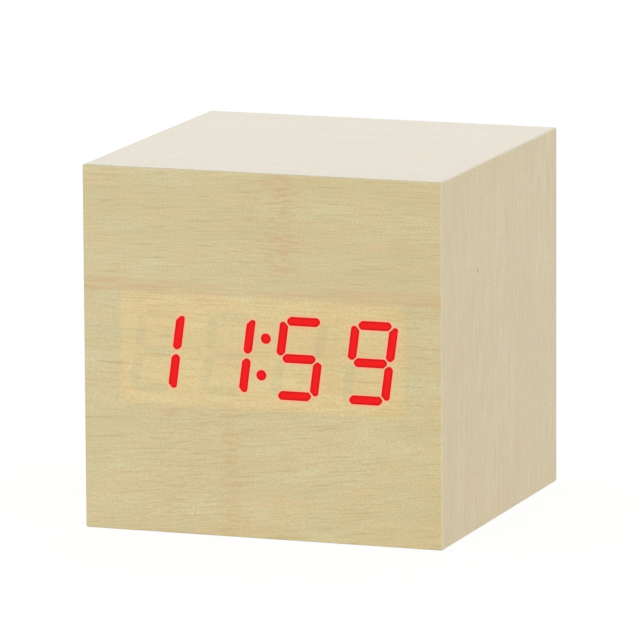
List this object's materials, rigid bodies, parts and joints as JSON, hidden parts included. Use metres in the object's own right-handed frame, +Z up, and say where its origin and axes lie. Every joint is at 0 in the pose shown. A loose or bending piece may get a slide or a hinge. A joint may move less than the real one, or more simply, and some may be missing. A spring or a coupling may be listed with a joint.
{
  "type": "digital alarm clock",
  "caption": "Cube-shaped bamboo-veneered alarm clock whose slanted red digits shine through the front; buttons, supply socket and battery door at the rear.",
  "frame": {"origin": "centre of the case's footprint, on the surface it stands on", "axes": "+X to the right of someone facing the digits, +Y from the front to the rear, +Z up"},
  "size_m": [0.064, 0.0624, 0.0625],
  "materials": {
    "bamboo_veneer": "satin lacquer",
    "board_core": "raw",
    "block_wood": "raw",
    "lit_bar": "lit",
    "unlit_bar": "satin",
    "white_plastic": "matte",
    "led_chip": "gloss",
    "steel": "plated",
    "circuit_board": "satin",
    "black_plastic": "fine grain",
    "button_plastic": "satin",
    "header_plastic": "satin",
    "bright_can": "bright",
    "resistor_ceramic": "matte",
    "ribbon_jacket": "matte",
    "pin_brass": "plated",
    "cell_sleeve": "satin film",
    "red_jacket": "satin",
    "black_jacket": "satin"
  },
  "bodies": {
    "clock_case": {"front_veneer": "bamboo_veneer", "top_veneer": "bamboo_veneer", "bottom_veneer": "bamboo_veneer", "left_veneer": "bamboo_veneer", "right_veneer": "bamboo_veneer", "rear_edge_band": "bamboo_veneer", "front_panel": "board_core", "top_panel": "board_core", "bottom_panel": "board_core", "left_panel": "board_core", "right_panel": "board_core", "corner_blocks": "block_wood", "lit_segments": "lit_bar", "unlit_segments": "unlit_bar", "display_reflector": "white_plastic", "board_spacers": "white_plastic", "led_chips": "led_chip", "display_pins": "steel", "board_screws": "steel", "backup_cell": "steel", "backup_cell_clip": "steel", "back_plate_screws": "steel", "control_board_screws": "steel", "contact_plates": "steel", "contact_springs": "steel", "cell_caps": "steel", "cell_bases": "steel", "display_board": "circuit_board", "control_board": "circuit_board", "clock_chip": "black_plastic", "alarm_buzzer": "black_plastic", "switch_bodies": "black_plastic", "dc_jack": "black_plastic", "back_plate": "black_plastic", "battery_tray": "black_plastic", "ribbon_headers": "header_plastic", "clock_crystal": "bright_can", "microphone": "bright_can", "resistors": "resistor_ceramic", "ribbon_cable": "ribbon_jacket", "dc_jack_pin": "pin_brass", "cell_sleeves": "cell_sleeve", "positive_lead": "red_jacket", "negative_lead": "black_jacket"},
    "set_button": {"set_button": "button_plastic", "set_plunger": "button_plastic"},
    "up_button": {"up_button": "button_plastic", "up_plunger": "button_plastic"},
    "down_button": {"down_button": "button_plastic", "down_plunger": "button_plastic"},
    "battery_door": {"battery_door": "black_plastic"}
  },
  "joints": [
    {"name": "set_button_press", "type": "slide", "parent": "clock_case", "child": "set_button", "axis": [0, -1, 0], "range_m": [0, 0.0005], "stiffness_N_per_m": 800, "springref_m": -0.001},
    {"name": "up_button_press", "type": "slide", "parent": "clock_case", "child": "up_button", "axis": [0, -1, 0], "range_m": [0, 0.0005], "stiffness_N_per_m": 800, "springref_m": -0.001},
    {"name": "down_button_press", "type": "slide", "parent": "clock_case", "child": "down_button", "axis": [0, -1, 0], "range_m": [0, 0.0005], "stiffness_N_per_m": 800, "springref_m": -0.001},
    {"name": "battery_door_swing", "type": "hinge", "parent": "clock_case", "child": "battery_door", "pos_m": [0, 0.02925, 0.01475], "axis": [-1, 0, 0], "range_deg": [0, 100]}
  ]
}
